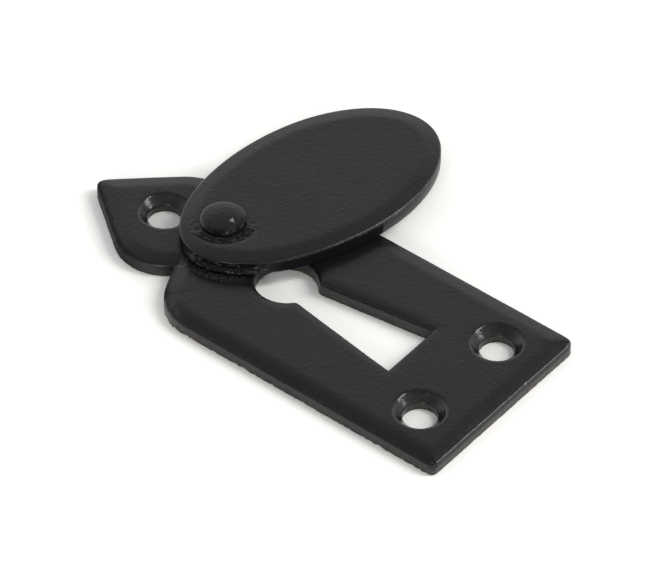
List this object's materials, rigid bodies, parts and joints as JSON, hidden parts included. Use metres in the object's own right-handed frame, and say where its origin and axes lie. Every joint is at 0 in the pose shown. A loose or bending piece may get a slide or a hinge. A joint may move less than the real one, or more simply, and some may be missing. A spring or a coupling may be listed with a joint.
{
  "type": "keyhole escutcheon with swing cover",
  "caption": "Flat black steel keyhole plate with a pointed finial and countersunk screw holes, and an oval cover that swings on a low round-headed rivet to hide the keyhole.",
  "frame": {"origin": "centre of the keyhole's round, on the backplate's back face", "axes": "+Y up the plate to the finial's tip, +Z out of the front, +X to the side that the cover is swung to"},
  "size_m": [0.0529, 0.074, 0.0064],
  "materials": {
    "plate_coat": "satin black coating on steel",
    "cover_coat": "satin black coating on steel",
    "rivet_coat": "glossier black coating on steel"
  },
  "bodies": {
    "plate": {"backplate": "plate_coat", "pivot_rivet": "rivet_coat"},
    "cover": {"swing_cover": "cover_coat"}
  },
  "joints": [
    {"name": "cover_swing", "type": "hinge", "parent": "plate", "child": "cover", "pos_m": [0.0015, 0.0129, 0.0027], "axis": [0, 0, 1], "continuous": true}
  ]
}
